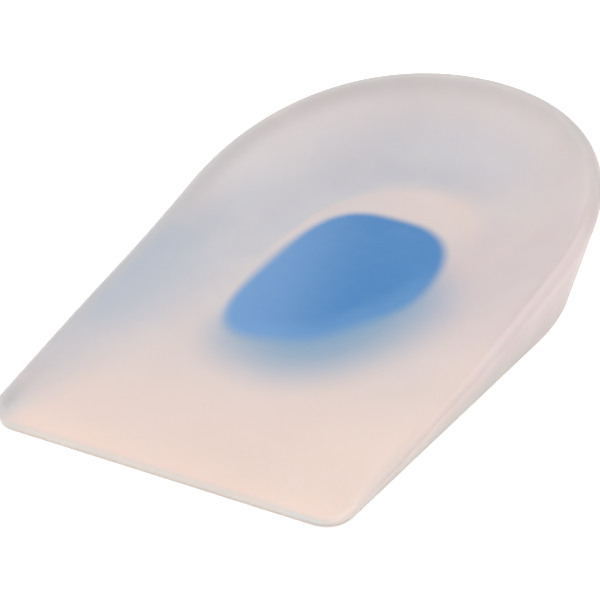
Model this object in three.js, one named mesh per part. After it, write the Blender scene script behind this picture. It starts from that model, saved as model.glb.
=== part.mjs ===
// A heel cushion: a milky gel cup for the back of a shoe, with an oval of softer blue gel let into its sole.
// Millimetres, +Z up, +Y towards the heel, +X to the right. The origin is on the underside, in the middle.
import * as THREE from "three";
import { LoftGeometry } from "three/addons/geometries/LoftGeometry.js";
import { mergeVertices } from "three/addons/utils/BufferGeometryUtils.js";

// The flat underside, with a straight front edge, straight sides and a full curve round the heel.
const BASE_LENGTH = 100;
const BASE_HALF_WIDTH = 30.2;
const SIDE_LENGTH = 62.8;
const HEEL_FULLNESS = 0.59; // 0.55 is an ellipse, and more is squarer
const CORNER_RADIUS = 4.4;
const BOTTOM_ROUND = 0.8;

// Sections across the cushion, each so far along from the front edge.
// rim: height of the wall. sole: height of the sole. flare: how far the rim leans out past the underside.
// round: radius of the rim's outer edge. run: width of the slope from the top of the rim down to the sole.
// shoulder, hollow: how long the slope's level handles are, at the rim and at the sole.
const SECTIONS = [
  { along: 0, rim: 2.0, sole: 0.9, flare: 0.6, round: 0.5, run: 2, shoulder: 0.6, hollow: 1.0 },
  { along: 25, rim: 6.2, sole: 4.8, flare: 1.9, round: 1.0, run: 12, shoulder: 1.8, hollow: 8 },
  { along: 50, rim: 10.6, sole: 7.7, flare: 2.8, round: 1.5, run: 16.5, shoulder: 2.4, hollow: 11 },
  { along: 75, rim: 16.2, sole: 8.8, flare: 3.8, round: 1.9, run: 17.5, shoulder: 2.4, hollow: 12.5 },
  { along: 100, rim: 21.8, sole: 8.8, flare: 5.4, round: 2.1, run: 17.5, shoulder: 2.2, hollow: 13 },
];
const COLUMNS = Object.keys(SECTIONS[0]);
const SLOPE_COLUMNS = ["run", "shoulder", "hollow"];
const HEEL = SECTIONS.at(-1);

// The front edge has no wall: it is a thin round edge of the sole.
const FRONT_EDGE = { rim: SECTIONS[0].sole, flare: 0, round: 0.35 };

// The oval spot and the pocket that it fills.
const SPOT_ALONG = 52.6;
const SPOT_HALF_WIDTH = 12.9;
const SPOT_HALF_LENGTH = 21.2;
const SPOT_POWER = 3; // 2 is an ellipse, and more is squarer
const SPOT_CROWN = 0.5;
const SPOT_ROUND = 0.5;
const SPOT_GAP = 0.3;
const POCKET_FLOOR = 2.4;

// Steps of the mesh.
const FRONT_STEPS = 6;
const CORNER_STEPS = 6;
const SIDE_STEPS = 14;
const HEEL_STEPS = 22;
const ROUND_STEPS = 3;
const SLOPE_STEPS = 10;
const SOLE_STEPS = 4;
const SPOT_COLUMNS = 72;
const SPOT_STEPS = 4;

const LENGTH = BASE_LENGTH + HEEL.flare;
const QUARTER_TURN = Math.PI / 2;
const { lerp, clamp, smoothstep } = THREE.MathUtils;

const sectionCurve = new THREE.CubicInterpolant(
  SECTIONS.map((row) => row.along),
  SECTIONS.flatMap((row) => COLUMNS.map((name) => row[name])),
  COLUMNS.length,
);

// The section at any distance along, on a smooth curve through the rows of the table.
function sectionAt(along) {
  const values = [...sectionCurve.evaluate(clamp(along, 0, BASE_LENGTH))];
  return Object.fromEntries(COLUMNS.map((name, i) => [name, values[i]]));
}

function soleAt(along) {
  return sectionAt(along).sole;
}

// A point in the part's frame, from a point in plan measured from the front edge and a height.
function place(plan, height) {
  return new THREE.Vector3(plan.x, plan.y - LENGTH / 2, height);
}

// Shares of the way from 0 to 1, without the 0.
function shares(steps) {
  return Array.from({ length: steps }, (_, i) => (i + 1) / steps);
}

// One station on the underside's outline, with the wall's sizes there. The slope widens only behind the front
// corners, which are too tight for a wide one.
function station(point, tangent) {
  const outward = new THREE.Vector2(tangent.y, -tangent.x);
  const wall = sectionAt(point.y);
  const behindCorner = sectionAt(point.y - CORNER_RADIUS);
  for (const name of SLOPE_COLUMNS) {
    wall[name] = behindCorner[name];
  }
  const front = smoothstep(-outward.y, 0, 1);
  for (const name of Object.keys(FRONT_EDGE)) {
    wall[name] = lerp(wall[name], FRONT_EDGE[name], front);
  }
  return { point, outward, wall };
}

// Stations from the middle of the front edge, up the right side, round the heel and back down the left side.
function outlineStations() {
  const cornerX = BASE_HALF_WIDTH - CORNER_RADIUS;
  const frontEdge = new THREE.LineCurve(new THREE.Vector2(0, 0), new THREE.Vector2(cornerX, 0));
  const corner = new THREE.EllipseCurve(
    cornerX, CORNER_RADIUS, CORNER_RADIUS, CORNER_RADIUS, -QUARTER_TURN, 0,
  );
  const side = new THREE.LineCurve(
    new THREE.Vector2(BASE_HALF_WIDTH, CORNER_RADIUS),
    new THREE.Vector2(BASE_HALF_WIDTH, SIDE_LENGTH),
  );
  const heel = new THREE.CubicBezierCurve(
    new THREE.Vector2(BASE_HALF_WIDTH, SIDE_LENGTH),
    new THREE.Vector2(BASE_HALF_WIDTH, lerp(SIDE_LENGTH, BASE_LENGTH, HEEL_FULLNESS)),
    new THREE.Vector2(BASE_HALF_WIDTH * HEEL_FULLNESS, BASE_LENGTH),
    new THREE.Vector2(0, BASE_LENGTH),
  );
  const stretches = [
    { curve: frontEdge, steps: FRONT_STEPS },
    { curve: corner, steps: CORNER_STEPS },
    { curve: side, steps: SIDE_STEPS },
    { curve: heel, steps: HEEL_STEPS },
  ];
  const right = [station(frontEdge.getPoint(0), frontEdge.getTangent(0))];
  for (const { curve, steps } of stretches) {
    for (const t of shares(steps)) {
      right.push(station(curve.getPoint(t), curve.getTangent(t)));
    }
  }
  const flip = new THREE.Vector2(-1, 1);
  const left = right.slice(1, -1).reverse().map(({ point, outward, wall }) => ({
    point: point.clone().multiply(flip),
    outward: outward.clone().multiply(flip),
    wall,
  }));
  return [...right, ...left];
}

// A station's profile from the underside's edge up the outer wall, over the rim and down the slope to the sole.
function wallProfile({ point, outward, wall }) {
  const { rim, flare, round, run, shoulder, hollow } = wall;
  const bottom = Math.min(BOTTOM_ROUND, rim / 3);
  const aboveSole = rim - soleAt(point.y);
  const slope = new THREE.CubicBezierCurve(
    new THREE.Vector2(0, 1),
    new THREE.Vector2(shoulder, 1),
    new THREE.Vector2(run - hollow, 0),
    new THREE.Vector2(run, 0),
  );
  const profile = [];
  const add = (out, height) => {
    const plan = outward.clone().multiplyScalar(out).add(point);
    profile.push(place(plan, height));
  };

  add(-bottom, 0);
  for (const t of shares(ROUND_STEPS)) {
    const turn = t * QUARTER_TURN;
    add(-bottom + bottom * Math.sin(turn), bottom - bottom * Math.cos(turn));
  }
  add(flare, rim - round);
  for (const t of shares(ROUND_STEPS)) {
    const turn = t * QUARTER_TURN;
    add(flare - round + round * Math.cos(turn), rim - round + round * Math.sin(turn));
  }
  for (const t of shares(SLOPE_STEPS)) {
    const { x: inward, y: height } = slope.getPoint(t);
    const out = flare - round - inward;
    const along = point.y + outward.y * out;
    add(out, soleAt(along) + aboveSole * height);
  }
  return profile;
}

// A point of the spot's oval in the direction of an angle round its middle, moved outwards by a clearance.
function spotPoint(angle, clearance = 0) {
  const cos = Math.cos(angle);
  const sin = Math.sin(angle);
  const reach = Math.abs(cos / SPOT_HALF_WIDTH) ** SPOT_POWER + Math.abs(sin / SPOT_HALF_LENGTH) ** SPOT_POWER;
  const radius = reach ** (-1 / SPOT_POWER) + clearance;
  return new THREE.Vector2(radius * cos, SPOT_ALONG + radius * sin);
}

// Turns rows of points, one row for each station, into rings, one ring for each point of a row.
function ringsOf(rows) {
  return rows[0].map((_, i) => rows.map((row) => row[i]));
}

// A closed solid through rings of points, with a flat cap on the first ring. The last ring is a single point.
function solidThrough(rings) {
  const loft = new LoftGeometry(rings, { capStart: true });
  const bare = new THREE.BufferGeometry();
  bare.setIndex(loft.index);
  bare.setAttribute("position", loft.getAttribute("position"));
  const solid = mergeVertices(bare);
  solid.computeVertexNormals();
  return solid;
}

function heelCupGeometry() {
  const middle = new THREE.Vector2(0, SPOT_ALONG);
  const rows = outlineStations().map((at) => {
    const row = wallProfile(at);
    const foot = new THREE.Vector2(row.at(-1).x, row.at(-1).y + LENGTH / 2);
    const edge = spotPoint(foot.clone().sub(middle).angle(), SPOT_GAP);
    for (const t of shares(SOLE_STEPS)) {
      const plan = foot.clone().lerp(edge, t);
      row.push(place(plan, soleAt(plan.y)));
    }
    row.push(place(edge, POCKET_FLOOR));
    row.push(place(middle, POCKET_FLOOR));
    return row;
  });
  return solidThrough(ringsOf(rows));
}

function softSpotGeometry() {
  const middle = new THREE.Vector2(0, SPOT_ALONG);
  const bottom = POCKET_FLOOR + SPOT_GAP;
  const crownAt = (share) => SPOT_CROWN * (1 - share ** 2) ** 2;
  const rows = shares(SPOT_COLUMNS).map((turn) => {
    const edge = spotPoint(turn * 2 * Math.PI);
    const inner = edge.clone().lerp(middle, SPOT_ROUND / edge.distanceTo(middle));
    const row = [place(inner, bottom), place(edge, bottom + SPOT_ROUND)];
    const top = soleAt(edge.y);
    for (let i = 0; i <= ROUND_STEPS; i += 1) {
      const bend = (i / ROUND_STEPS) * QUARTER_TURN;
      const plan = inner.clone().lerp(edge, Math.cos(bend));
      row.push(place(plan, top - SPOT_ROUND * (1 - Math.sin(bend))));
    }
    for (const t of shares(SPOT_STEPS)) {
      const plan = inner.clone().lerp(middle, t);
      row.push(place(plan, soleAt(plan.y) + crownAt(1 - t)));
    }
    return row;
  });
  return solidThrough(ringsOf(rows));
}

const milkyGel = new THREE.MeshStandardMaterial({ color: 0xe0d4cf, roughness: 0.4, metalness: 0 });
const blueGel = new THREE.MeshStandardMaterial({ color: 0x5a8fc8, roughness: 0.45, metalness: 0 });

const heelCup = new THREE.Mesh(heelCupGeometry(), milkyGel);
heelCup.name = "heel_cup";

const softSpot = new THREE.Mesh(softSpotGeometry(), blueGel);
softSpot.name = "soft_spot";

const heelCushion = new THREE.Group();
heelCushion.name = "heel_cushion";
heelCushion.add(heelCup, softSpot);

export default heelCushion;
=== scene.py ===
# %% [markdown]
# # A gel heel cushion
#
# A heel cushion lies in the back of a shoe. It is cast from milky silicone gel, and an oval of softer blue
# gel is let into its sole, under the bone of the heel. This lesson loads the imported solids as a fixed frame,
# builds both gels again as fine meshes from the same sizes, and gives them their finish.

# %% Load the frame
import math

import bpy
import numpy as np
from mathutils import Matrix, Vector


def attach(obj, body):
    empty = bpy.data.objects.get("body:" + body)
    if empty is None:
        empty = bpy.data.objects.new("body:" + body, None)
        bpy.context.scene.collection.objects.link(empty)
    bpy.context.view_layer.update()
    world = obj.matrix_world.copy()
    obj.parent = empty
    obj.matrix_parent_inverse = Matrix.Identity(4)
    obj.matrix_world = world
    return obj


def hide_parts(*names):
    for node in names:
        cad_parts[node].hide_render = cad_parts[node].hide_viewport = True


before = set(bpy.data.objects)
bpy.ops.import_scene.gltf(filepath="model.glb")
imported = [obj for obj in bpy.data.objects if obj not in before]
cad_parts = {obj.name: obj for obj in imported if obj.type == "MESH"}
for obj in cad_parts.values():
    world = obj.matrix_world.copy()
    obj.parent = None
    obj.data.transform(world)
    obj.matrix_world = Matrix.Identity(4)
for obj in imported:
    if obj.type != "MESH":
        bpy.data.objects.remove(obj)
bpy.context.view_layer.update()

print("solids:", sorted(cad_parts))

# %% [markdown]
# ## Sizes
#
# The solids and the meshes share one set of sizes, in millimetres. The cushion is described by five sections
# across it, and a smooth curve through them gives the section at any place along it. A table of sections is
# easier to read and to change than a cloud of points, and it is how such a mould is drawn.

# %% Sizes of the body
MM = 0.001
BASE_LENGTH = 100
BASE_HALF_WIDTH = 30.2
SIDE_LENGTH = 62.8
HEEL_FULLNESS = 0.59  # 0.55 is an ellipse, and more is squarer
CORNER_RADIUS = 4.4
BOTTOM_ROUND = 0.8

# Each section lies so far along from the front edge.
# rim: height of the wall. sole: height of the sole. flare: how far the rim leans out past the underside.
# round: radius of the rim's outer edge. run: width of the slope from the top of the rim down to the sole.
# shoulder, hollow: how long the slope's level handles are, at the rim and at the sole.
SECTIONS = [
    dict(along=0, rim=2.0, sole=0.9, flare=0.6, round=0.5, run=2, shoulder=0.6, hollow=1.0),
    dict(along=25, rim=6.2, sole=4.8, flare=1.9, round=1.0, run=12, shoulder=1.8, hollow=8),
    dict(along=50, rim=10.6, sole=7.7, flare=2.8, round=1.5, run=16.5, shoulder=2.4, hollow=11),
    dict(along=75, rim=16.2, sole=8.8, flare=3.8, round=1.9, run=17.5, shoulder=2.4, hollow=12.5),
    dict(along=100, rim=21.8, sole=8.8, flare=5.4, round=2.1, run=17.5, shoulder=2.2, hollow=13),
]
FRONT_EDGE = dict(rim=SECTIONS[0]["sole"], flare=0, round=0.35)
LENGTH = BASE_LENGTH + SECTIONS[-1]["flare"]


def column_at(name, along):
    """One column of the sections at any distances along, on a smooth curve through the rows."""
    rows = [row[name] for row in SECTIONS]
    rows = np.array([2 * rows[0] - rows[1], *rows, 2 * rows[-1] - rows[-2]])
    step = SECTIONS[1]["along"]
    place = np.clip(np.asarray(along, float), 0, BASE_LENGTH) / step
    row = np.minimum(place.astype(int), len(SECTIONS) - 2)
    t = place - row
    a, b, c, d = (rows[row + i] for i in range(4))
    bend = 2 * a - 5 * b + 4 * c - d
    return b + 0.5 * t * (c - a + t * (bend + t * (3 * (b - c) + d - a)))


print("length:", LENGTH, "mm, sole half way along:", float(column_at("sole", BASE_LENGTH / 2)), "mm high")

# %% [markdown]
# ## Camera
#
# The picture was taken with a long lens from the front right, a little under thirty degrees above the table.
# The camera stands where the outline of the part falls on the outline in the picture. It is placed by turning
# and lifting a line of sight about an aim point, because those are the numbers one can reason about.

# %% Camera
AIM = Vector((-1.88, -8.62, 8.0)) * MM
AZIMUTH = math.radians(30.3)
ELEVATION = math.radians(28.81)
DISTANCE = 506.7 * MM
NEAREST = 10 * MM
LENS = 196.5
SENSOR_WIDTH = 36

towards_camera = Vector((
    math.sin(AZIMUTH) * math.cos(ELEVATION),
    -math.cos(AZIMUTH) * math.cos(ELEVATION),
    math.sin(ELEVATION),
))
camera = bpy.data.objects.new("camera", bpy.data.cameras.new("camera"))
camera.data.sensor_width = SENSOR_WIDTH
camera.data.lens = LENS
camera.data.clip_start = NEAREST
camera.location = AIM + towards_camera * DISTANCE
camera.rotation_euler = (-towards_camera).to_track_quat("-Z", "Y").to_euler()
bpy.context.scene.collection.objects.link(camera)
bpy.context.scene.camera = camera
print("camera at", [round(v, 3) for v in camera.location])

# %% [markdown]
# ## Shader maths as Python
#
# A finish is a formula over the surface. Wiring its nodes by hand is slow to read, so one small class wraps
# a node's output: adding, multiplying or subtracting two of them adds the Math node that does it. Any other
# node comes from the class's one method for nodes, which sets the node's settings first and then its sockets.


# %% Wires between nodes
class Wire:
    """An output of a node. Operators on it add Math nodes, so that a formula reads as Python."""

    def __init__(self, socket):
        self.socket = socket

    def node(self, kind, settings, sockets, output=0):
        """Adds a node to this wire's tree, and returns one of its outputs."""
        tree = self.socket.id_data
        made = tree.nodes.new(kind)
        for name, value in settings.items():
            setattr(made, name, value)
        for name, value in sockets.items():
            if isinstance(value, Wire):
                tree.links.new(value.socket, made.inputs[name])
            else:
                made.inputs[name].default_value = value
        return Wire(made.outputs[output])

    def maths(self, operation, *values):
        """A Math node on these values, which may be wires or numbers."""
        return self.node("ShaderNodeMath", {"operation": operation}, dict(enumerate(values)))

    def __add__(self, other):
        return self.maths("ADD", self, other)

    def __sub__(self, other):
        return self.maths("SUBTRACT", self, other)

    def __mul__(self, other):
        return self.maths("MULTIPLY", self, other)

    def __truediv__(self, other):
        return self.maths("DIVIDE", self, other)

    def __pow__(self, other):
        return self.maths("POWER", self, other)

    def __radd__(self, other):
        return self.maths("ADD", other, self)

    def __rsub__(self, other):
        return self.maths("SUBTRACT", other, self)

    def __rmul__(self, other):
        return self.maths("MULTIPLY", other, self)

    def __rtruediv__(self, other):
        return self.maths("DIVIDE", other, self)

    def __abs__(self):
        return self.maths("ABSOLUTE", self)


# %% Steps, blends and colours
def ease(value, start, end):
    """0 before start and 1 after end, with a soft step between them. The end may be the lower of the two."""
    sockets = {"Value": value, "From Min": start, "From Max": end}
    return value.node("ShaderNodeMapRange", {"interpolation_type": "SMOOTHSTEP"}, sockets)


def between(ends, share):
    """The number that lies a share of the way from the first end to the second."""
    return ends[0] + (ends[1] - ends[0]) * share


def tint(share, under, over, blend="MIX"):
    """The colour under, turned towards the colour over by a share from 0 to 1."""
    settings = {"data_type": "RGBA", "blend_type": blend}
    return share.node("ShaderNodeMix", settings, {0: share, 6: under, 7: over}, output=2)


def colour(red, green, blue):
    """A colour as a screen shows it, from 0 to 255, in linear light, by the usual curve of screens."""
    shares = [v / 255 for v in (red, green, blue)]
    return *[v / 12.92 if v <= 0.04045 else ((v + 0.055) / 1.055) ** 2.4 for v in shares], 1.0


print("a grey of 188 on a screen is", round(colour(188, 188, 188)[0], 2), "in linear light")

# %% [markdown]
# ## Floor and light
#
# The cushion lies on a plain white table. Soft gel shows its form only in soft light, so one wide lamp hangs
# above it and the room adds an even glow. The table glows a little too, like a sheet of white acrylic over
# a lamp, which keeps the shadow under the flared wall faint and sends light up through the thin front.

# %% Floor, lamp and room
WHITE_LIGHT = (1, 1, 1, 1)
FLOOR_REACH = 1.5
FLOOR_DROP = 0.02 * MM
FLOOR_WHITE = (0.9, 0.9, 0.9, 1)
FLOOR_ROUGHNESS = 0.9
FLOOR_SHINE = 0.1
FLOOR_GLOW = 0.5
ROOM_GLOW = 0.75
LAMP_POWER = 1.1
LAMP_SIZE = 0.5
LAMP_PLACE = Vector((-0.2, -0.1, 0.6))

floor_mesh = bpy.data.meshes.new("floor")
floor_corners = [(x * FLOOR_REACH, y * FLOOR_REACH, 0) for x, y in ((-1, -1), (1, -1), (1, 1), (-1, 1))]
floor_mesh.from_pydata(floor_corners, [], [(0, 1, 2, 3)])
floor = bpy.data.objects.new("floor", floor_mesh)
floor.location.z = -FLOOR_DROP
bpy.context.scene.collection.objects.link(floor)

white = bpy.data.materials.new("white_table")
white.use_nodes = True
white_finish = white.node_tree.nodes["Principled BSDF"].inputs
white_finish["Base Color"].default_value = FLOOR_WHITE
white_finish["Roughness"].default_value = FLOOR_ROUGHNESS
white_finish["Specular IOR Level"].default_value = FLOOR_SHINE
white_finish["Emission Color"].default_value = WHITE_LIGHT
white_finish["Emission Strength"].default_value = FLOOR_GLOW
floor_mesh.materials.append(white)

lamp = bpy.data.objects.new("soft_lamp", bpy.data.lights.new("soft_lamp", "AREA"))
lamp.data.energy = LAMP_POWER
lamp.data.size = LAMP_SIZE
lamp.location = LAMP_PLACE
lamp.rotation_euler = (-LAMP_PLACE).to_track_quat("-Z", "Y").to_euler()
bpy.context.scene.collection.objects.link(lamp)

room = bpy.data.worlds.new("room")
room.use_nodes = True
room.node_tree.nodes["Background"].inputs["Color"].default_value = WHITE_LIGHT
room.node_tree.nodes["Background"].inputs["Strength"].default_value = ROOM_GLOW
bpy.context.scene.world = room
bpy.context.scene.view_settings.view_transform = "Standard"
print("lamp", LAMP_SIZE, "m wide at", [round(v, 2) for v in LAMP_PLACE])

# %% [markdown]
# ## The outline of the underside
#
# The underside has a straight front edge with small round corners, straight sides, and a full curve round
# the heel. The walk round it stops at stations. Each station knows its place, which way is outwards there,
# and the sizes of the wall, which fades into a thin plain edge along the front. The slope inside the wall
# widens only behind the front corners, which are too tight for a wide one.

# %% Half of the outline
STATION_STEPS = {"front": 18, "corner": 12, "side": 40, "heel": 62}
CORNER_X = BASE_HALF_WIDTH - CORNER_RADIUS


def shares(steps):
    """Shares of the way from 0 to 1, without the 0."""
    return (np.arange(steps) + 1) / steps


def right_half():
    """Places and headings from the middle of the front edge to the back of the heel."""
    t = np.concatenate([[0], shares(STATION_STEPS["front"])])
    front = np.stack([t * CORNER_X, 0 * t], -1), np.tile([1.0, 0.0], (len(t), 1))
    turn = (shares(STATION_STEPS["corner"]) - 1) * math.pi / 2
    round_point = np.stack([np.cos(turn), np.sin(turn)], -1)
    corner = round_point * CORNER_RADIUS + [CORNER_X, CORNER_RADIUS], round_point[:, ::-1] * [-1, 1]
    t = shares(STATION_STEPS["side"])
    side_y = CORNER_RADIUS + (SIDE_LENGTH - CORNER_RADIUS) * t
    side = np.stack([0 * t + BASE_HALF_WIDTH, side_y], -1), np.tile([0.0, 1.0], (len(t), 1))
    t = shares(STATION_STEPS["heel"])[:, None]
    handles = np.array([
        [BASE_HALF_WIDTH, SIDE_LENGTH],
        [BASE_HALF_WIDTH, SIDE_LENGTH + (BASE_LENGTH - SIDE_LENGTH) * HEEL_FULLNESS],
        [BASE_HALF_WIDTH * HEEL_FULLNESS, BASE_LENGTH],
        [0, BASE_LENGTH],
    ])
    a, b, c, d = handles
    curve = a * (1 - t) ** 3 + 3 * b * t * (1 - t) ** 2 + 3 * c * t**2 * (1 - t) + d * t**3
    heading = (b - a) * (1 - t) ** 2 + 2 * (c - b) * t * (1 - t) + (d - c) * t**2
    heel = curve, heading / np.linalg.norm(heading, axis=1, keepdims=True)
    parts = front, corner, side, heel
    return np.concatenate([p[0] for p in parts]), np.concatenate([p[1] for p in parts])


half_points, half_headings = right_half()
print(len(half_points), "stations from the front edge to the heel")

# %% Stations and their wall
half_outward = half_headings[:, ::-1] * [1, -1]
outline = np.concatenate([half_points, half_points[-2:0:-1] * [-1, 1]])
outward = np.concatenate([half_outward, half_outward[-2:0:-1] * [-1, 1]])
frontness = np.clip(-outward[:, 1], 0, 1)
frontness = frontness**2 * (3 - 2 * frontness)
wall = {name: column_at(name, outline[:, 1]) for name in ("rim", "flare", "round")}
for name in ("run", "shoulder", "hollow"):
    wall[name] = column_at(name, outline[:, 1] - CORNER_RADIUS)
for name, value in FRONT_EDGE.items():
    wall[name] = wall[name] * (1 - frontness) + value * frontness
print(len(outline), "stations round the underside")

# %% [markdown]
# ## The oval of the soft spot
#
# The oval is a superellipse: an ellipse with a power above 2, which squares its ends a little. Each direction
# from its middle gives one point. The pocket is the same oval with a hair of clearance, because the two gels
# are cast together and no gap shows between them. That hair lies midway in the gap that the solids keep.

# %% Points of the oval
SPOT_ALONG = 52.6
SPOT_HALF_WIDTH = 12.9
SPOT_HALF_LENGTH = 21.2
SPOT_POWER = 3
SPOT_GAP = 0.3
SPOT_MIDDLE = np.array([0.0, SPOT_ALONG])
SEAM = 0.01
SEAM_OFFSET = SPOT_GAP / 2


def spot_points(angle, clearance):
    """Points of the oval in directions round its middle, moved outwards by a clearance."""
    cos, sin = np.cos(angle), np.sin(angle)
    reach = np.abs(cos / SPOT_HALF_WIDTH) ** SPOT_POWER + np.abs(sin / SPOT_HALF_LENGTH) ** SPOT_POWER
    radius = reach ** (-1 / SPOT_POWER) + clearance
    return SPOT_MIDDLE + radius[:, None] * np.stack([cos, sin], -1)


print("spot:", 2 * SPOT_HALF_WIDTH, "by", 2 * SPOT_HALF_LENGTH, "mm")

# %% [markdown]
# ## A mesh through rings
#
# Both gels are closed skins over a stack of rings. Each ring has the same number of points, four-sided faces
# join ring to ring, and a fan of triangles closes each end. Such a loft gives clean faces that follow the
# form, so the smooth shading has no kinks. Each vertex can also carry numbers, which the finish reads later.

# %% Loft
SHARP_ANGLE = math.radians(50)


def loft(name, rings, hidden, **marks):
    """A closed mesh through rings of points, in millimetres, with a fan in the first and the last ring.

    The faces that start at a hidden ring take the mesh's second material. Marks are numbers for each vertex.
    """
    rings = np.asarray(rings)
    count, around = rings.shape[:2]
    ends = rings[[0, -1]].mean(axis=1)
    places = np.concatenate([rings.reshape(-1, 3), ends])
    places[:, 1] -= LENGTH / 2
    here = np.arange(around)
    there = np.roll(here, -1)
    faces = []
    for ring in range(count - 1):
        low, high = ring * around, (ring + 1) * around
        faces += np.stack([low + here, low + there, high + there, high + here], -1).tolist()
    first, last = count * around, count * around + 1
    top = (count - 1) * around
    faces += [[last, top + a, top + b] for a, b in zip(here.tolist(), there.tolist())]
    faces += [[first, b, a] for a, b in zip(here.tolist(), there.tolist())]
    second = np.repeat([ring in hidden for ring in [*range(count), 0]], around)
    mesh = bpy.data.meshes.new(name)
    mesh.from_pydata((places * MM).tolist(), [], faces)
    mesh.polygons.foreach_set("material_index", second.astype(int))
    mesh.shade_smooth()
    mesh.set_sharp_from_angle(angle=SHARP_ANGLE)
    for mark, values in marks.items():
        values = np.asarray(values, float)
        carried = np.concatenate([values.reshape(-1), values[[0, -1]].mean(axis=1)])
        mesh.attributes.new(mark, "FLOAT", "POINT").data.foreach_set("value", carried)
    mesh.validate()
    piece = bpy.data.objects.new(name, mesh)
    bpy.context.scene.collection.objects.link(piece)
    print(name, len(mesh.vertices), "vertices,", len(mesh.polygons), "faces")
    return piece


# %% [markdown]
# ## The milky gel cup
#
# The cup is cast in one piece. From the middle of the flat underside its skin runs out to the edge, up the
# flared wall, over the round rim, down the hollow to the sole and into the pocket. Walking that profile at
# every station gives the rings. Each vertex remembers its reach, which is 0 on the rim, 1 at the foot of the
# slope and 2 at the pocket, and how far down the outside it is, from 0 on the rim to 1 at the bottom.

# %% Rings of the cup
UNDERSIDE_STEPS = 8
ROUND_STEPS = 7
OUTSIDE_STEPS = 12
SLOPE_STEPS = 32
ROUND_SHARE = 0.35  # how much of the way down the outside is the rim's round

rings, reaches, outsides = [], [], []


def add_ring(plan, height, reach, outside):
    """One ring of the cup from points in plan, their heights, and the two numbers that they carry."""
    around = len(plan)
    height = np.broadcast_to(height, around)
    rings.append(np.concatenate([plan, height[:, None]], axis=1))
    reaches.append(np.broadcast_to(reach, around))
    outsides.append(np.broadcast_to(outside, around))


def out_by(distance):
    """The outline moved outwards by a distance."""
    return outline + outward * np.broadcast_to(distance, len(outline))[:, None]


rim, flare, rim_round, run = (wall[name] for name in ("rim", "flare", "round", "run"))
bottom = np.minimum(BOTTOM_ROUND, rim / 3)
above_sole = rim - column_at("sole", outline[:, 1])
under_middle = np.array([0, BASE_LENGTH / 2])

for t in shares(UNDERSIDE_STEPS):
    add_ring(under_middle + (out_by(-bottom) - under_middle) * t, 0, 0, 1)
for t in shares(ROUND_STEPS) * math.pi / 2:
    add_ring(out_by(-bottom + bottom * math.sin(t)), bottom * (1 - math.cos(t)), 0, 1)
for t in shares(OUTSIDE_STEPS):
    add_ring(out_by(flare * t), bottom + (rim - rim_round - bottom) * t, 0, 1 - (1 - ROUND_SHARE) * t)
for t in shares(ROUND_STEPS):
    turn = t * math.pi / 2
    plan = out_by(flare - rim_round * (1 - math.cos(turn)))
    add_ring(plan, rim - rim_round * (1 - math.sin(turn)), 0, ROUND_SHARE * (1 - t))
for t in shares(SLOPE_STEPS):
    handles = 3 * t * (1 - t) ** 2 * wall["shoulder"] + 3 * t**2 * (1 - t) * (run - wall["hollow"])
    inward = handles + t**3 * run
    fall = (1 - t) ** 2 * (1 + 2 * t)
    plan = out_by(flare - rim_round - inward)
    add_ring(plan, column_at("sole", plan[:, 1]) + above_sole * fall, inward / run, 0)
print(len(rings), "rings from the underside to the foot of the slope")

# %% Sole and pocket of the cup
SOLE_STEPS = 16
POCKET_STEPS = 6
POCKET_FLOOR = 2.4

foot = rings[-1][:, :2]
angle = np.arctan2(foot[:, 1] - SPOT_ALONG, foot[:, 0])
edge = spot_points(angle, SEAM_OFFSET + SEAM)
for t in shares(SOLE_STEPS):
    plan = foot + (edge - foot) * t
    add_ring(plan, column_at("sole", plan[:, 1]), 1 + t, 0)
edge_sole = column_at("sole", edge[:, 1])
shown_rings = len(rings)
for t in shares(POCKET_STEPS):
    add_ring(edge, edge_sole + (POCKET_FLOOR - edge_sole) * t, 2, 0)
for t in shares(POCKET_STEPS)[:-1]:
    add_ring(edge + (SPOT_MIDDLE - edge) * t, POCKET_FLOOR, 2, 0)

pocket = range(shown_rings - 1, len(rings))
heel_cup = loft("gel_cup", rings, pocket, reach=reaches, outside=outsides)

# %% [markdown]
# ## The blue soft spot
#
# The spot fills the pocket and lies flush with the sole, with a slight crown where the soft gel swelled as it
# set. It is a loft too: up the side from its flat bottom and in to the middle. The crown starts level at the
# edge, so that the skin runs on from one gel to the other without a step.

# %% Rings of the spot
SPOT_CROWN = 0.5
CROWN_STEPS = 20

edge = spot_points(angle, SEAM_OFFSET)
edge_sole = column_at("sole", edge[:, 1])
spot_bottom = POCKET_FLOOR + SPOT_GAP
spot_rings = []


def add_spot_ring(plan, height):
    """One ring of the spot from points in plan and their heights."""
    height = np.broadcast_to(height, len(plan))
    spot_rings.append(np.concatenate([plan, height[:, None]], axis=1))


for t in shares(POCKET_STEPS):
    add_spot_ring(SPOT_MIDDLE + (edge - SPOT_MIDDLE) * t, spot_bottom)
for t in shares(POCKET_STEPS):
    add_spot_ring(edge, spot_bottom + (edge_sole - spot_bottom) * t)
sunk = range(len(spot_rings) - 1)
for t in shares(CROWN_STEPS)[:-1]:
    plan = edge + (SPOT_MIDDLE - edge) * t
    add_spot_ring(plan, column_at("sole", plan[:, 1]) + SPOT_CROWN * (1 - (1 - t) ** 2) ** 2)

spot_shape = np.shape(spot_rings)[:2]
at_pocket = np.full(spot_shape, 2)
not_outside = np.zeros(spot_shape)
soft_spot = loft("blue_spot", spot_rings, sunk, reach=at_pocket, outside=not_outside)
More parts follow.
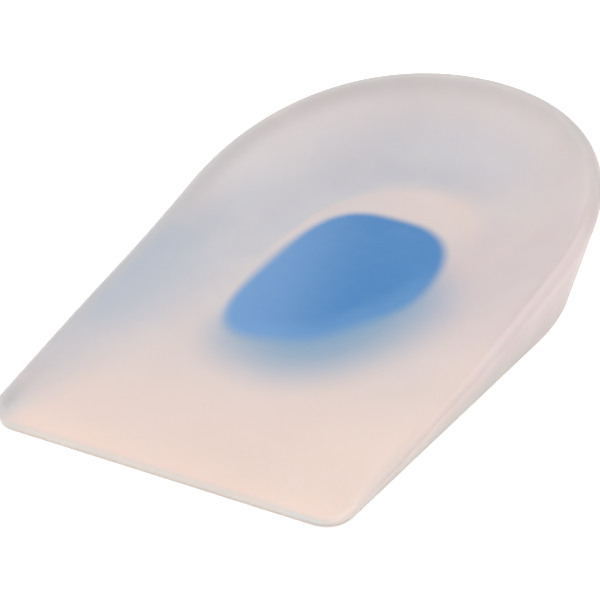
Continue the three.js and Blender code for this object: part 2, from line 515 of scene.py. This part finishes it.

# %% [markdown]
# ## How blue the gel is
#
# Both gels are cloudy, so the blue shows through the milky gel beside it. Seen from above, the blue is an
# egg rather than a true oval: straighter along its left side, rounder on its right and a little aslant. On
# the far side its edge is crisp. To the front right the edge is painted pulled in and soft, as the spot shows
# through the milky gel there, and a bleed of blue, a painted blue shadow, reaches out beyond it. A painted
# mask could hold all this, but formulas over the distance outside the egg stay smooth at any size. Both meshes
# use them, so the colours run on across the seam.

# %% The spot and its bleed
# The egg: pairs are for its left and right halves. It leans to the right for each millimetre further back.
BLUE_HALF_WIDTHS = (12.7, 13.7)
BLUE_POWERS = (3.6, 2.35)
BLUE_HALF_LENGTH = 21.45
BLUE_LEAN = 0.015
EDGE_BLUR = 1.35

# The pull, which paints the edge as it shows through the milky gel: its way from the middle, how narrow it is,
# and how far it moves and softens the edge.
PULL_WAY = (0.42, -0.91)
PULL_POWER = 3.3
PULL = 4.5
PULL_BLUR = 1.3

# The see-through and the bleed, a painted blue shadow: their way from the middle, how closely a direction
# has to follow it for none and all of the see-through, how strong the bleed is, how far out it ends without
# and with the see-through, and where it is full.
BLEED_WAY = (0.72, -0.69)
SEE_THROUGH_RANGE = (-0.38, 0.86)
BLEED_SHARE = 0.68
BLEED_ENDS = (2, 11.5)
BLEED_START = -3

# Added so that no division is by zero in the very middle.
MIDDLE_GUARD = 0.01
EGG_GUARD = 0.0001


def blue_shares(x, y):
    """The distance outside the blue's edge, and the shares of the see-through edge, of the spot and of its
    bleed, a painted shadow.
    """
    y = y - (SPOT_ALONG - LENGTH / 2)
    x = x - BLUE_LEAN * y
    right = x.maths("GREATER_THAN", x, 0)
    half_width = between(BLUE_HALF_WIDTHS, right)
    power = between(BLUE_POWERS, right)
    egg = (abs(x) / half_width) ** power + (abs(y) / BLUE_HALF_LENGTH) ** power
    egg = egg ** (1 / power)
    middle_distance = (x * x + y * y + MIDDLE_GUARD) ** 0.5
    outside_by = middle_distance - middle_distance / (egg + EGG_GUARD)

    def towards(way_x, way_y):
        return (x * way_x + y * way_y) / middle_distance

    pull = towards(*PULL_WAY)
    pull = pull.maths("MAXIMUM", pull, 0) ** PULL_POWER
    edge_by = outside_by + PULL * pull
    blur = EDGE_BLUR + PULL_BLUR * pull
    spot = ease(edge_by, blur, 0 - blur)
    seen_through = ease(towards(*BLEED_WAY), *SEE_THROUGH_RANGE)
    bleed = BLEED_SHARE * seen_through * ease(outside_by, between(BLEED_ENDS, seen_through), BLEED_START)
    return edge_by, seen_through, spot, bleed


print("blue edge: pulled in by up to", PULL, "mm, with a bleed up to", BLEED_ENDS[1], "mm outside the egg")

# %% [markdown]
# ## How warm the milky gel is
#
# Nothing is printed on the gel: its tints are painted light and shade. Nearly all of them lie on one line
# from a cool grey to a warm peach. A true volume and the lamp would find them by themselves, but a volume is
# slow and hard to steer. So one number, the warmth, chooses the place on that line: warm at the thin front, a
# painted glow where light comes through thin gel, warm behind the spot, and lit on the near slope beside it,
# a painted light; cool on the left wall, a painted shade where the wall is turned from the lamp, and in the
# painted shade of the hollow round the heel. Each zone is a product of soft steps, so that its edges melt
# away. The two numbers of a step are where it starts and where it is full, in millimetres from the middle or
# in what the vertices carry.

# %% Warmth
COOL_TINT = colour(186, 197, 211)
WARM_TINT = colour(239, 218, 208)
PLAIN_WARMTH = 0.58
FRONT_GLOW_WARMTH = 0.38
BACK_WARMTH = 0.15
BACK_RIGHT_WARMTH = 0.05
RIGHT_SLOPE_LIGHT = 0.14
HEEL_WALL_SHADE = 0.25
LEFT_WALL_SHADES = (0.46, 0.36)  # by the spot, and towards the front
LEFT_RIM_SHADE = 0.12

# Where some zones lie, and how far their edges slant.
FRONT_SLANT = 0.3
BACK_MIDDLE = 7
HEEL_SLANT = 0.35
HEEL_FOOT_SLANT = 0.01
LEFT_START = -5
LEFT_SLANT = 0.36
LEFT_END = -31


def warmth_at(x, y, reach, outside):
    """How warm the milky gel is, from 0 for the cool tint to 1 for the warm one, by painted glow, light and
    shade.
    """
    # Painted glow at the thin front, where light comes through the gel, and warmth on the sole behind the
    # spot.
    front = ease(y - FRONT_SLANT * x, -8, -48)
    back = ease(y, 14, 28) * ease(abs(x - BACK_MIDDLE), 22, 8) * ease(reach, 0.8, 1.2)
    back_right = ease(x, -6, 10) * ease(y, 0, 12)
    # Painted light on the near slope beside the spot, which faces the lamp, and painted shade on the far slope
    # round the heel.
    right_slope = ease(x, 20, 29) * ease(y, 8, -4) * ease(y, -26, -12)
    heel_wall = ease(reach, 0.1, 0.4) * ease(reach + HEEL_FOOT_SLANT * x, 1.2, 0.75)
    heel_wall = heel_wall * ease(y, -6, 10) * ease(x - HEEL_SLANT * y, 12, -12)
    # Painted shade on the left wall, which faces away from the lamp and starts nearer to the left towards the
    # front, and on its rim. The outer wall is plain.
    within = ease(outside, 0.6, 0.35)
    left_start = LEFT_SLANT * y + LEFT_START
    left_wall = ease((left_start - x) / (left_start - LEFT_END), 0, 1) * ease(y, 9, -7) * within
    left_coolness = between(LEFT_WALL_SHADES, ease(y, -20, -31))
    left_rim = ease(x, -20, -28) * ease(y, 28, 14) * ease(y, -4, 8) * within

    warmth = PLAIN_WARMTH + FRONT_GLOW_WARMTH * front + BACK_WARMTH * back + BACK_RIGHT_WARMTH * back_right
    warmth = warmth + RIGHT_SLOPE_LIGHT * right_slope - HEEL_WALL_SHADE * heel_wall
    return warmth - left_coolness * left_wall - LEFT_RIM_SHADE * left_rim


print("warmth of the gel:", PLAIN_WARMTH, "and up to", PLAIN_WARMTH + FRONT_GLOW_WARMTH, "at the front")

# %% [markdown]
# ## The tint of the sole and the wall
#
# A few tints lie beside that line. The right of the sole is rosy, and the front is a brighter peach, a
# painted glow. Painted light makes the slope under the far rim pale, the far rim itself carries a painted
# grey shade, and the near rim a painted highlight along its crest. The outer wall carries painted shade that
# deepens towards the table, where little light gets in. They are laid over each other one by one, like thin
# washes, because each can then be judged and changed alone.

# %% Sole
ROSY_TINT = colour(216, 198, 201)
PEACH_GLOW_TINT = colour(250, 231, 218)
ROSY_SHARE = 0.5
FRONT_RIGHT_PEACH = 0.25
FRONT_PEACH = 0.2


def sole_tint(x, y, reach, outside):
    """The tint of the milky gel by its warmth, with the rosy wash and the peach wash of painted glow."""
    gel = tint(warmth_at(x, y, reach, outside), COOL_TINT, WARM_TINT)
    rosy = ease(x, 6, 18) * ease(y, -16, 6) * ease(y, 34, 20)
    gel = tint(ROSY_SHARE * rosy, gel, ROSY_TINT)
    # Painted glow: a peach wash at the front right and along the thin front.
    front_right = ease(x, 10, 24) * ease(y, -20, -36)
    front = ease(y, -44, -51)
    return tint(FRONT_RIGHT_PEACH * front_right + FRONT_PEACH * front, gel, PEACH_GLOW_TINT)


print("rosy tint in linear light:", [round(v, 2) for v in ROSY_TINT[:3]])

# %% Wall
UPPER_WALL_LIGHT = colour(238, 232, 232)
FAR_RIM_SHADE_TINT = colour(202, 199, 198)
CREST_HIGHLIGHT_TINT = colour(238, 226, 225)
WALL_FOOT_SHADE_TINT = colour(195, 189, 184)
UPPER_WALL_SHARES = (0.45, 0.75)  # at the heel, and at its left
FAR_RIM_SHARE = 0.6
FAR_RIM_SLANT = 0.6
CREST_SHARES = (0.7, 0.4)  # beside the spot, and towards the front
LEFT_CORNER_SHARE = 0.7
# The foot of the wall carries painted shade; the next number is how much of it is left out at the right heel.
RIGHT_HEEL_LIGHT = 0.4  # how much of the foot's wash is left out there
WALL_SHADE = (0.85, 0.81, 0.78, 1)
LOW_WALL_SHADE = (0.88, 0.88, 0.92, 1)
CORNER_SHADE = (0.92, 0.96, 0.98, 1)
FRONT_SHADE = (0.83, 0.95, 1.0, 1)


def wall_tint(gel, x, y, reach, outside):
    """The tint of the milky gel with the painted light and shade of the wall, the rim and the front edge."""
    # Painted light makes the slope under the far rim pale, most of all on the left.
    upper_wall = ease(reach, 0.8, 0.1) * ease(reach, 0, 0.2)
    upper_wall = upper_wall * ease(x - HEEL_SLANT * y, 10, -12) * ease(y, 0, 22)
    gel = tint(upper_wall * between(UPPER_WALL_SHARES, ease(x, -8, -24)), gel, UPPER_WALL_LIGHT)
    # Painted grey shade along the far rim, where its round falls away from the light.
    far_rim = ease(reach, 0.16, 0) * ease(outside, 0.35, 0.05) * ease(x - FAR_RIM_SLANT * y, 12, -6)
    gel = tint(FAR_RIM_SHARE * far_rim, gel, FAR_RIM_SHADE_TINT)
    # A painted highlight on the crest of the near rim.
    right = ease(x, 16, 28)
    crest = right * ease(outside, 0, 0.1) * ease(outside, 0.42, 0.27) * ease(y, 28, 18)
    gel = tint(crest * between(CREST_SHARES, ease(y, -8, -24)), gel, CREST_HIGHLIGHT_TINT)
    # Painted shade on the outer wall, on its lower part beside the front and at the near front corner.
    gel = tint(ease(outside, 0.05, 0.5), gel, WALL_SHADE, "MULTIPLY")
    gel = tint(right * ease(y, 8, -8) * ease(outside, 0.15, 0.38), gel, LOW_WALL_SHADE, "MULTIPLY")
    gel = tint(right * ease(y, -24, -40) * ease(reach, 0.3, 0), gel, CORNER_SHADE, "MULTIPLY")
    # Painted shade on the thin front edge with the left front corner, and on the foot of the wall.
    left_corner = LEFT_CORNER_SHARE * ease(x, -25.5, -29.5) * ease(y, -44, -48)
    front_edge = left_corner.maths("MAXIMUM", left_corner, ease(y, -51, -52.8))
    gel = tint(front_edge, gel, FRONT_SHADE, "MULTIPLY")
    wall_foot = ease(outside, 0.5, 1) * (1 - RIGHT_HEEL_LIGHT * right * ease(y, -2, 8))
    return tint(wall_foot, gel, WALL_FOOT_SHADE_TINT)


print("outer wall keeps", WALL_SHADE[:3], "of the tint")

# %% [markdown]
# ## The tint of either gel
#
# Cast gel is never quite even, so faint clouds drift through the milky gel and the blue. The blue is deepest
# at the back right; it is lighter towards the left, a painted light from the side of the lamp, and lighter
# near the edge that shows through the milky gel. The bleed, a painted blue shadow, and the spot go over the
# milky tint last, and not on the outside of the cup.

# %% Both gels
CLOUD_TINT = colour(240, 232, 226)
BLUE_TINT = colour(72, 138, 198)
PALE_BLUE_TINT = colour(115, 161, 211)
EDGE_BLUE_TINT = colour(132, 178, 223)
BLEED_SHADOW_TINT = colour(84, 154, 196)
CLOUD_SHARE = 0.12
CLOUD_DETAIL = 3.0
CLOUD_RANGE = (0.4, 0.75)
MILKY_CLOUD_SCALE = 0.12
BLUE_CLOUD_SCALE = 0.25
DEEP_BLUE_WAY = (0.92, 0.35)
PALE_BLUE_RANGE = (5, -14)
EDGE_BLUE_SHARE = 0.3
EDGE_BLUE_RANGE = (-6, -2)


def clouds(place, scale):
    """A small share of clouds in the gel."""
    sockets = {"Vector": place, "Scale": scale, "Detail": CLOUD_DETAIL}
    return CLOUD_SHARE * ease(place.node("ShaderNodeTexNoise", {}, sockets), *CLOUD_RANGE)


def gel_tint(x, y, place, reach, outside):
    """The tint at a point of either gel."""
    gel = wall_tint(sole_tint(x, y, reach, outside), x, y, reach, outside)
    gel = tint(clouds(place, MILKY_CLOUD_SCALE), gel, CLOUD_TINT)
    # The blue is painted lighter towards the left, the side of the lamp; its clouds are the gel's own.
    pale = ease(x * DEEP_BLUE_WAY[0] + y * DEEP_BLUE_WAY[1], *PALE_BLUE_RANGE)
    blue = tint(pale, BLUE_TINT, PALE_BLUE_TINT)
    blue = tint(clouds(place, BLUE_CLOUD_SCALE), blue, PALE_BLUE_TINT)
    edge_by, seen_through, spot, bleed = blue_shares(x, y)
    # The blue is painted lighter near the edge that shows through the milky gel.
    blue = tint(EDGE_BLUE_SHARE * seen_through * ease(edge_by, *EDGE_BLUE_RANGE), blue, EDGE_BLUE_TINT)
    inside = 1 - outside
    # The bleed is a painted blue shadow; the spot goes over it.
    gel = tint(bleed * inside, gel, BLEED_SHADOW_TINT)
    return tint(spot * inside, gel, blue)


print("blue in linear light:", [round(v, 2) for v in BLUE_TINT[:3]])

# %% [markdown]
# ## The finish of the gel
#
# Silicone gel takes light in and gives it back, so a subsurface shader does the glow and the tints colour it.
# A satin grain in the roughness and a faint bump keep it from looking like hard plastic. Both gels are the
# same silicone, so both materials come from one function.

# %% Gel materials
GEL_IOR = 1.41
GEL_DEPTH = 0.8 * MM
GEL_SPREAD = (1.0, 0.85, 0.75)
GEL_ROUGHNESS = 0.34
GRAIN_ROUGHNESS = 0.1
GRAIN_SCALE = 2.4
GRAIN_DETAIL = 4.0
BUMP_STRENGTH = 0.05
BUMP_HEIGHT = 0.2 * MM


def gel_surface(name):
    """A new material that is painted with the gel's tints: its shader's inputs, the place and the tint."""
    material = bpy.data.materials.new(name)
    material.use_nodes = True
    tree = material.node_tree
    place = Wire(tree.nodes.new("ShaderNodeTexCoord").outputs["Object"])
    place = place.node("ShaderNodeVectorMath", {"operation": "SCALE"}, {0: place, "Scale": 1 / MM})
    x, y = (place.node("ShaderNodeSeparateXYZ", {}, {0: place}, output=axis) for axis in (0, 1))
    reach, outside = (
        place.node("ShaderNodeAttribute", {"attribute_name": mark}, {}, output="Fac")
        for mark in ("reach", "outside")
    )
    return material, tree.nodes["Principled BSDF"].inputs, place, gel_tint(x, y, place, reach, outside)


def gel_finish(name):
    """The satin, glowing finish of the gel."""
    material, inputs, place, tints = gel_surface(name)
    links = material.node_tree.links
    sockets = {"Vector": place, "Scale": GRAIN_SCALE, "Detail": GRAIN_DETAIL}
    grain = place.node("ShaderNodeTexNoise", {}, sockets)
    satin = GEL_ROUGHNESS + grain * GRAIN_ROUGHNESS
    sockets = {"Strength": BUMP_STRENGTH, "Distance": BUMP_HEIGHT, "Height": grain}
    bumps = place.node("ShaderNodeBump", {}, sockets)
    links.new(tints.socket, inputs["Base Color"])
    links.new(satin.socket, inputs["Roughness"])
    links.new(bumps.socket, inputs["Normal"])
    inputs["IOR"].default_value = GEL_IOR
    inputs["Subsurface Weight"].default_value = 1.0
    inputs["Subsurface Radius"].default_value = GEL_SPREAD
    inputs["Subsurface Scale"].default_value = GEL_DEPTH
    print(name, "has", len(material.node_tree.nodes), "nodes")
    return material


heel_cup.data.materials.append(gel_finish("milky_gel"))
soft_spot.data.materials.append(gel_finish("blue_gel"))

# %% [markdown]
# ## Light across the seam
#
# In the real cushion the two gels are bonded, and light wanders from one into the other. Between two meshes
# it stops at the seam, and a dark line would show there. So the hidden walls of the pocket and of the spot
# glow faintly in the tint of the gel at that place, which is the light that the other gel would have passed
# on.

# %% Walls of the seam
BLACK = (0, 0, 0, 1)
SEAM_GLOW = 0.58


def seam_wall(name):
    """The material of walls that lie hidden in the seam."""
    material, inputs, _, tints = gel_surface(name)
    material.node_tree.links.new(tints.socket, inputs["Emission Color"])
    inputs["Base Color"].default_value = BLACK
    inputs["Specular IOR Level"].default_value = 0
    inputs["Emission Strength"].default_value = SEAM_GLOW
    return material


heel_cup.data.materials.append(seam_wall("milky_seam"))
soft_spot.data.materials.append(seam_wall("blue_seam"))
print("materials:", [m.name for piece in (heel_cup, soft_spot) for m in piece.data.materials])

# %% [markdown]
# ## Into the frame
#
# Each mesh stands for its solid, which is hidden, and rides on the part's one body. Gel is soft all through.

for piece, node, slot, fill in (
    (heel_cup, "heel_cup", "milky_gel", 1.0),
    (soft_spot, "soft_spot", "blue_gel", 0.9),
):
    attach(piece, "root")
    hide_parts(node)
